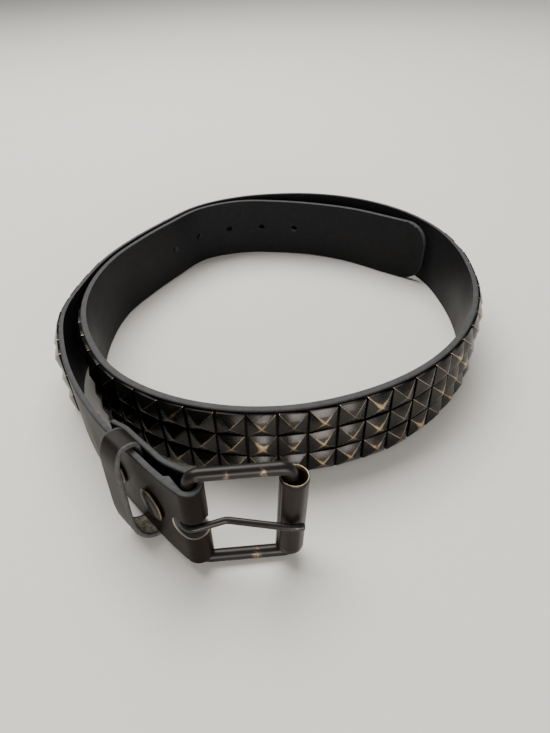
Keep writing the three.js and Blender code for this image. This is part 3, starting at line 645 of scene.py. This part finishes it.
def makeStuds():
    chance = random.Random(studs["seed"])
    one = pressStud()
    bm = bmesh.new()
    count = math.floor((strapRun - studs["stop"] - studs["setback"]) / studs["pitch"])
    margin = (strap["width"] - studs["rows"] * studs["pitch"]) / 2
    for column in range(count):
        left = placeAt(studs["setback"] + column * studs["pitch"])
        right = placeAt(studs["setback"] + (column + 1) * studs["pitch"])
        for row in range(studs["rows"]):
            start = len(bm.verts)
            bm.from_mesh(one)
            bm.verts.ensure_lookup_table()
            fresh = bm.verts[start:]
            worn = bm.verts.layers.float["worn"]
            share = chance.random() ** studs["wornPower"]
            amount = studs["wornLeast"] + (studs["wornMost"] - studs["wornLeast"]) * share
            for vert in fresh:
                vert[worn] = amount
            place = studPlace(left, right, margin + row * studs["pitch"], chance)
            bmesh.ops.transform(bm, matrix=place, verts=fresh)
    finishPiece("pyramid_studs", bm, Vector.copy, {}, "belt", "stud_field",
                rubbedStuds("black_plated_pressed_brass", studLook), sharp=32)


makeStuds()

# Keeper: a band of the same leather through the fold and out round the strap, with a napped flesh
# side that is paler; both sides are painted paler still as painted light, the outer face for the
# light on its top and the flesh side for its lit inside
keeperLook = {
    **strapLook, "outerDark": "#130e0c", "outerLight": "#1d1613", "innerDark": "#4b4842",
    "innerLight": "#b3ada1", "dust": "#4a433b", "scuffShare": 0.12, "rawDark": "#373736",
    "rawLight": "#4f4f4d", "fibre": 0.7, "fibreDepth": 0.03, "nap": 4, "cloud": 15, "scuff": 1.6,
    "mottle": 0.16, "roughLow": 0.42, "roughHigh": 0.5, "specular": 0.16,
}


# Smooth closed line through the keeper's rows, at a share of its length
def keeperLine(share):
    clear = keeper["seat"] + keeper["thickness"] / 2
    innerSide = halfStrap + keeper["gap"] + keeper["inner"] / 2
    outerSide = halfStrap + keeper["bulge"]
    line = []
    for side, height, over, thick in keeper["rows"]:
        away = side * (innerSide if side < 0 else outerSide)
        line.append((away, height * strap["width"] + over * clear, thick))
    first = math.floor(share * len(line))
    x = share * len(line) - first
    a, b, c, d = (Vector(line[(first + k) % len(line)]) for k in (-1, 0, 1, 2))
    gapBefore, gap, gapAfter = ((q - p).length ** 0.5 for p, q in ((a, b), (b, c), (c, d)))
    leave = ((b - a) / gapBefore - (c - a) / (gapBefore + gap) + (c - b) / gap) * gap
    arrive = ((c - b) / gap - (d - b) / (gap + gapAfter) + (d - c) / gapAfter) * gap
    return curveBetween(x, b, c, leave, arrive)


# Rounded flat section: place across the band, share of the thickness
def bandSection():
    blunt = keeper["edgeRound"]
    flat = keeper["length"] - 2 * blunt
    points = []
    for centre, start, side in ((blunt, 90, -1), (keeper["length"] - blunt, -90, 1)):
        for k in range(keeper["edgeSegments"] + 1):
            turn = math.radians(start + 180 * k / keeper["edgeSegments"])
            points.append((centre + blunt * math.cos(turn), math.sin(turn)))
        for k in range(1, keeper["across"]):
            points.append((centre - side * flat * k / keeper["across"], side))
    return points


def makeKeeper():
    section = bandSection()
    bm = bmesh.new()
    bmesh.ops.create_grid(bm, x_segments=keeper["steps"], y_segments=len(section), size=0.5)
    edge = bm.verts.layers.float.new("edge")
    inner = bm.verts.layers.float.new("inner")
    for vert in bm.verts:
        share = round((vert.co.x + 0.5) * keeper["steps"]) % keeper["steps"] / keeper["steps"]
        across, side = section[round((vert.co.y + 0.5) * len(section)) % len(section)]
        here, ahead = keeperLine(share), keeperLine((share + keeper["ahead"]) % 1)
        along = Vector((ahead.x - here.x, ahead.y - here.y)).normalized()
        thick = min(1, max(0, here.z))
        deep = side * (keeper["inner"] + (keeper["thickness"] - keeper["inner"]) * thick) / 2
        slant = keeper["slant"] * (here.y / strap["width"] - 0.5)
        place = placeAt(round(strapRun - (keeperNear + across + slant), 4))
        vert.co = pointAt(place, here.x - along.y * deep, here.y + along.x * deep)
        away = min(across, keeper["length"] - across)
        vert[edge] = 1.0 if away < keeper["edgeRound"] + tolerance else 0.0
        vert[inner] = 1.0 if side < 0 else 0.0
    bmesh.ops.remove_doubles(bm, verts=bm.verts, dist=weld)
    finishPiece("leather_keeper", bm, Vector.copy, {}, "belt", "keeper",
                finishedLeather("coated_split_leather_band", keeperLook),
                sharp=50)


makeKeeper()

# Snaps: pressed cap with a rolled rim, post and back plate, all turned about the post
snapLook = {
    "paintDark": "#0f0b09", "paintLight": "#1a1410", "bareDark": "#463b2c",
    "bareLight": "#a08d6d", "cloud": 6, "cloudDepth": 0.06, "scratch": 0.7, "scratchDepth": 0.015,
    "ragged": 0.6, "bareFrom": 0.42, "bareTo": 0.62, "roughLow": 0.28, "roughHigh": 0.4,
    "bareRough": 0.35, "paintMetal": 0.2, "specular": 0.25,
    # Rubbed amounts, and where the rim begins: in from the cap's radius, share of its height
    "rimWorn": 0.62, "domeWorn": 0.05, "rimInset": 0.3, "rimHeight": 0.2,
}


def spinProfile(bm, profile, sides):
    verts = [bm.verts.new((radius, 0, along)) for radius, along in profile]
    edges = [bm.edges.new(pair) for pair in zip(verts, verts[1:])]
    bmesh.ops.spin(bm, geom=verts + edges, cent=(0, 0, 0), axis=(0, 0, 1), angle=2 * math.pi,
                   steps=sides, use_merge=True)
    bmesh.ops.remove_doubles(bm, verts=bm.verts, dist=weld)


def makeSnap(name, node, setback, material):
    cap, post, back = snap["cap"] / 2, snap["post"] / 2, snap["back"] / 2
    foot = halfStrap + snap["seat"]
    high = snap["capHeight"]
    corner, blunt = snap["corner"], snap["blunt"]
    flapInner = min(flapOut(setback - back), flapOut(setback + back)) - strap["ply"] / 2
    backTop = flapInner - snap["seat"]
    backLow = backTop - snap["backThickness"]
    profile = [
        (0, backLow), (back - corner, backLow), (back, backLow + corner), (back, backTop - blunt),
        (back - blunt, backTop), (post, backTop), (post, foot), (cap - snap["inset"], foot),
        (cap, foot + blunt),
    ]
    profile += [(cap - inward, foot + high * share) for inward, share in snap["rim"]]
    profile += [(cap * outward, foot + high * share) for outward, share in snap["dome"]]
    bm = bmesh.new()
    spinProfile(bm, profile, snap["sides"])
    place = placeAt(strapRun - setback)
    outward = place[1].to_3d()
    sideways = Vector((0, 0, 1)).cross(outward)
    turn = Matrix((sideways, Vector((0, 0, 1)), outward)).transposed().to_4x4()
    seat = Matrix.Translation(pointAt(place, 0, strap["width"] / 2)) @ turn

    def rimMark(co, normal):
        outer = math.hypot(co.x, co.y) > cap - snapLook["rimInset"]
        onRim = outer and co.z > foot + high * snapLook["rimHeight"]
        return snapLook["rimWorn"] if onRim else snapLook["domeWorn"]

    finishPiece(name, bm, lambda co: seat @ co, {"worn": rimMark}, "belt", node, material)


snapPaint = lacqueredMetal("black_lacquered_brass_cap", snapLook)
makeSnap("snap_cap_front", "snap_front", snapFront, snapPaint)
makeSnap("snap_cap_rear", "snap_rear", snapRear, snapPaint)

# Buckle: everything is made with the heel bar's foot at the origin, then leaned and turned
barHeight = endPlace[3] + strap["width"] / 2
lean = math.radians(buckle["lean"])
foot = heelAxis - backward * (leanSlope * barHeight)
pivot = Vector((foot.x, foot.y, wireRadius * (1 - math.cos(lean))))
turned = Matrix.Rotation(heading, 4, "Z") @ Matrix.Rotation(-lean, 4, "X")
buckleSeat = Matrix.Translation(pivot) @ turned


def seatBuckle(co):
    return buckleSeat @ co


# Carries a round section through corners: straight runs are extruded, corners are spun
def drawWire(radius, sides, points, bend, step):
    bm = bmesh.new()
    here = points[0]
    forward = (points[1] - here).normalized()
    bmesh.ops.create_circle(bm, segments=sides, radius=radius)
    aim = Vector((0, 0, 1)).rotation_difference(forward).to_matrix()
    bmesh.ops.rotate(bm, matrix=aim, verts=bm.verts)
    bmesh.ops.translate(bm, vec=here, verts=bm.verts)
    ring = bm.edges[:]
    for corner, after in zip(points[1:], [*points[2:], None]):
        forward = (corner - here).normalized()
        onward = (after - corner).normalized() if after else forward
        angle = forward.angle(onward)
        trim = bend * math.tan(angle / 2)
        offset = corner - forward * trim - here
        count = max(1, round(offset.length / step))
        for _ in range(count):
            made = bmesh.ops.extrude_edge_only(bm, edges=ring)["geom"]
            ring = [e for e in made if isinstance(e, bmesh.types.BMEdge)]
            moved = [v for v in made if isinstance(v, bmesh.types.BMVert)]
            bmesh.ops.translate(bm, vec=offset / count, verts=moved)
        if angle > nearlyStraight:
            axis = forward.cross(onward).normalized()
            centre = here + offset + axis.cross(forward) * bend
            steps = max(2, round(math.degrees(angle) / buckle["bendStep"]))
            made = bmesh.ops.spin(bm, geom=ring, cent=centre, axis=axis, angle=angle,
                                  steps=steps)["geom_last"]
            ring = [e for e in made if isinstance(e, bmesh.types.BMEdge)]
        here = corner + onward * trim
    return bm


frameLook = {
    "paintDark": "#120f0d", "paintLight": "#1d1816", "bareDark": "#443a30",
    "bareLight": "#96816a", "cloud": 14, "cloudDepth": 0.08, "scratch": 1.1, "scratchDepth": 0.02,
    "ragged": 0.8, "bareFrom": 0.42, "bareTo": 0.62, "roughLow": 0.3, "roughHigh": 0.42,
    "bareRough": 0.42, "paintMetal": 0.25, "specular": 0.35,
    # Rubbed spots: along and up the frame, half length, strength. They are taller than long and
    # stronger on the side that faces out.
    "spots": [(3.5, 49.5, 2.0, 0.45), (13.6, 49.5, 2.2, 0.6), (26.2, 49.5, 2.6, 0.62),
              (1.5, 2.5, 2.2, 0.5), (21.8, 2.5, 3.6, 0.6), (33, 48, 1.6, 0.5)],
    "spotStretch": 2, "facingOut": 0.25,
}


def makeFrame():
    low, high = wireRadius, wireRadius + buckle["innerHeight"] + buckle["wire"]
    reach = buckle["reach"]
    middle = (low + high) / 2
    corners = [(reach, middle), (reach, high), (0, high), (0, low), (reach, low), (reach, middle)]
    points = [Vector((x, 0, z)) for x, z in corners]
    bm = drawWire(wireRadius, buckle["sides"], points, buckle["bend"], buckle["step"])
    bmesh.ops.remove_doubles(bm, verts=bm.verts, dist=weld)

    def rubbed(co, normal):
        facing = 1 - frameLook["facingOut"] - frameLook["facingOut"] * normal.y
        amounts = []
        for x, z, half, strength in frameLook["spots"]:
            away = (co.x - x) ** 2 + ((co.z - z) / frameLook["spotStretch"]) ** 2
            amounts.append(strength * math.exp(-away / half ** 2) * facing)
        return max(amounts)

    finishPiece("wire_frame", bm, seatBuckle, {"worn": rubbed}, "buckle", "buckle_frame",
                lacqueredMetal("black_lacquered_steel_wire", frameLook), sharp=60)


makeFrame()

# Roller: a rolled tube on the frame's front wire, with its butt seam and a rubbed top rim
roller = {
    "bore": 9.2, "wall": 0.85, "length": 39, "tilt": 3.4, "sides": 72, "rim": 0.3, "wallSteps": 20,
    "boreStep": 2.5, "seamAt": 205, "seamDepth": 0.2, "seamWidth": 0.06, "facets": 9,
    "facet": 0.018,
}
rollerLook = {
    **frameLook, "paintDark": "#120c09", "paintLight": "#1e150f", "bareDark": "#5a5142",
    "bareLight": "#b1a388", "cloud": 10, "ragged": 0.6, "roughLow": 0.28, "roughHigh": 0.38,
    "specular": 0.25,
    # Rubbed amounts at the top rim and the foot's rim, bare colour painted inside the mouth as
    # painted light for its lit inner wall, and how far they reach
    "topWorn": 0.7, "topReach": 0.6, "facingOut": 0.15, "footWorn": 0.4, "footReach": 0.5,
    "mouthLitBare": 0.75, "mouthLitReach": 3,
}


def makeRoller():
    inner, half, rim = roller["bore"] / 2, roller["length"] / 2, roller["rim"]
    outer = inner + roller["wall"]
    steps = roller["wallSteps"]
    wall = [(outer, -half + rim + (2 * half - 2 * rim) * k / steps) for k in range(steps + 1)]
    profile = [(inner, -half + rim), (inner + rim, -half), (outer - rim, -half), *wall,
               (outer - rim, half), (inner + rim, half), (inner, half - rim),
               (inner, half - roller["boreStep"]), (inner, -half + rim)]
    bm = bmesh.new()
    spinProfile(bm, profile, roller["sides"])
    for vert in bm.verts:
        radius = math.hypot(vert.co.x, vert.co.y)
        if radius > outer - rim - tolerance:
            turn = math.atan2(vert.co.y, vert.co.x)
            off = (turn - math.radians(roller["seamAt"]) + math.pi) % (2 * math.pi) - math.pi
            seam = roller["seamDepth"] * math.exp(-(off / roller["seamWidth"]) ** 2)
            facet = roller["facet"] * (0.5 + 0.5 * math.cos(turn * roller["facets"]))
            vert.co.xy *= 1 - facet - seam / radius
    height = buckle["wire"] + buckle["innerHeight"] / 2
    tilt = Matrix.Rotation(math.radians(roller["tilt"]), 4, "Y")
    seat = buckleSeat @ Matrix.Translation((buckle["reach"], 0, height)) @ tilt

    def rimMark(co, normal):
        look = rollerLook
        atTop = max(0, 1 - abs(half - co.z) / look["topReach"])
        atFoot = max(0, 1 - abs(half + co.z) / look["footReach"])
        onBore = math.hypot(co.x, co.y) < inner + tolerance
        # Painted light: the top of the bore is painted bare and pale, for light falling into the
        # mouth
        litMouth = look["mouthLitBare"] if onBore and co.z > half - look["mouthLitReach"] else 0
        topWorn = look["topWorn"] - look["facingOut"] * normal.x
        return max(atTop * topWorn, look["footWorn"] * atFoot, litMouth)

    finishPiece("roller_tube", bm, lambda co: seat @ co, {"worn": rimMark}, "buckle_roller",
                "roller", lacqueredMetal("brown_black_lacquered_tube", rollerLook),
                sharp=50)


makeRoller()

# Prong: wire bent in an eye round the heel bar, a small kink, and flat on the roller
prong = {
    "diameter": 2.7, "kinkShare": 0.325, "kinkSide": 1.4, "overhang": 4, "gap": 0.36, "eye": 268,
    "eyeSteps": 20, "bend": 5, "step": 1.5, "sides": 20, "endRound": 0.5, "endSegments": 4,
}
prongLook = {
    **frameLook, "paintDark": "#242221", "paintLight": "#34312f", "bareDark": "#4f4942",
    "bareLight": "#7a7167", "cloud": 8, "paintMetal": 0.6,
    # Rubbed amounts on the end over the roller, save the side that lies on it, and elsewhere
    "endWorn": 0.42, "endReach": 5, "endTurn": 0.3, "otherWorn": 0.1,
}


def makeProng():
    radius = prong["diameter"] / 2
    eyeRadius = wireRadius + prong["gap"] + radius
    rest = roller["bore"] / 2 + roller["wall"] + prong["gap"] + radius
    kink = Vector((buckle["reach"] * prong["kinkShare"], -prong["kinkSide"], 0))
    front = Vector((buckle["reach"], 0, 0))
    leaveTurn = math.atan2(kink.y, kink.x) - math.acos(eyeRadius / kink.length)
    leave = Vector((math.cos(leaveTurn), math.sin(leaveTurn), 0)) * eyeRadius
    toFront = front - kink
    touchTurn = math.atan2(toFront.y, toFront.x) + math.pi + math.acos(rest / toFront.length)
    touch = front + Vector((math.cos(touchTurn), math.sin(touchTurn), 0)) * rest
    flat = Vector((buckle["reach"], -rest, 0))
    tip = flat + Vector((prong["overhang"], 0, 0))
    points = [leave, kink, touch, flat, tip]
    bm = drawWire(radius, prong["sides"], points, prong["bend"], prong["step"])
    startRing = [e for e in bm.edges if e.is_boundary
                 and (e.verts[0].co - leave).length < radius + tolerance]
    bmesh.ops.spin(bm, geom=startRing, cent=(0, 0, 0), axis=(0, 0, 1),
                   angle=-math.radians(prong["eye"]), steps=prong["eyeSteps"])
    ends = bmesh.ops.holes_fill(bm, edges=[e for e in bm.edges if e.is_boundary])["faces"]
    rims = list({e for face in ends for e in face.edges})
    bevelEdges(bm, rims, radius * prong["endRound"], prong["endSegments"])
    seat = buckleSeat @ Matrix.Translation((0, 0, barHeight / math.cos(lean)))

    def rubbed(co, normal):
        onEnd = co.x > buckle["reach"] - prongLook["endReach"]
        outer = normal.y < prongLook["endTurn"]
        return prongLook["endWorn"] if onEnd and outer else prongLook["otherWorn"]

    finishPiece("wire_prong", bm, lambda co: seat @ co, {"worn": rubbed}, "buckle_prong", "prong",
                lacqueredMetal("satin_dark_plated_wire", prongLook), sharp=60)


makeProng()

# Studio: pale floor, a wide light over and behind the belt, a low front light for the stud
# faces. The paper's fibre is drawn far too coarse, so that the floor isn't quite even.
studio = {
    "floor": ("#dedbd5", "#e3e0da"), "floorSize": 6, "floorBelow": 0.2, "floorRough": 0.7,
    "fibre": 4, "fibreDepth": 0.02, "world": "#f0efed", "worldStrength": 0.32,
    # Name, place and size in metres, watts, colour
    "lights": [
        ("over", (-0.25, 0.6, 1.25), (1.5, 1.0), 38, "#fffcf8"),
        ("front", (0.4, -1.5, 0.36), (1.3, 0.6), 24, "#fffbf6"),
    ],
}


def makeStudio():
    material, tree = startMaterial("matt_paper_floor")
    place = node(tree, "TexCoord", {}, out=3)
    fibre = node(tree, "TexNoise", {"Vector": place, "Scale": 1 / (studio["fibre"] * mm),
                                    "Detail": 4})
    tint = node(tree, "Mix", {0: fibre, 6: studio["floor"][0], 7: studio["floor"][1]}, **inColour)
    shadeWith(tree, {"Base Color": tint, "Roughness": studio["floorRough"]},
              [(fibre, studio["fibreDepth"])])
    bm = bmesh.new()
    bmesh.ops.create_grid(bm, x_segments=1, y_segments=1, size=studio["floorSize"])
    bmesh.ops.translate(bm, vec=(0, 0, -studio["floorBelow"] * mm), verts=bm.verts)
    floor = addObject("floor", meshFrom("floor", bm))
    floor.data.materials.append(material)
    for name, place, size, watts, colour in studio["lights"]:
        data = bpy.data.lights.new(name, "AREA")
        data.shape = "RECTANGLE"
        data.size, data.size_y = size
        data.energy = watts
        data.color = linear(colour)[:3]
        lamp = addObject(name, data)
        lamp.location = place
        lamp.rotation_euler = (-Vector(place)).to_track_quat("-Z", "Y").to_euler()
    world = bpy.data.worlds.new("studio")
    bpy.context.scene.world = world
    world.use_nodes = True
    sky = world.node_tree.nodes["Background"]
    sky.inputs["Color"].default_value = linear(studio["world"])
    sky.inputs["Strength"].default_value = studio["worldStrength"]


makeStudio()

# Camera fitted to the photograph: focal length and height in the photo's pixels, angles in
# degrees, the nearest distance seen in metres
camera = {
    "focal": 540, "imageHeight": 733, "pitch": 39.99, "roll": -1.631, "sensor": 36,
    "place": (-1.741, -247.078, 194.82), "nearest": 0.01,
}


def placeCamera():
    pitch, roll = math.radians(camera["pitch"]), math.radians(camera["roll"])
    forward = Vector((0, math.cos(pitch), -math.sin(pitch)))
    down = Vector((0, -math.sin(pitch), -math.cos(pitch)))
    right = Vector((1, 0, 0))
    imageRight = right * math.cos(roll) - down * math.sin(roll)
    imageDown = right * math.sin(roll) + down * math.cos(roll)
    lens = bpy.data.cameras.new("photo_camera")
    lens.sensor_width = camera["sensor"]
    lens.lens = camera["focal"] * camera["sensor"] / camera["imageHeight"]
    lens.clip_start = camera["nearest"]
    viewer = addObject("photo_camera", lens)
    turn = Matrix((imageRight, -imageDown, -forward)).transposed().to_4x4()
    viewer.matrix_world = Matrix.Translation(Vector(camera["place"]) * mm) @ turn
    bpy.context.scene.camera = viewer


placeCamera()
print("stage: studio and camera")
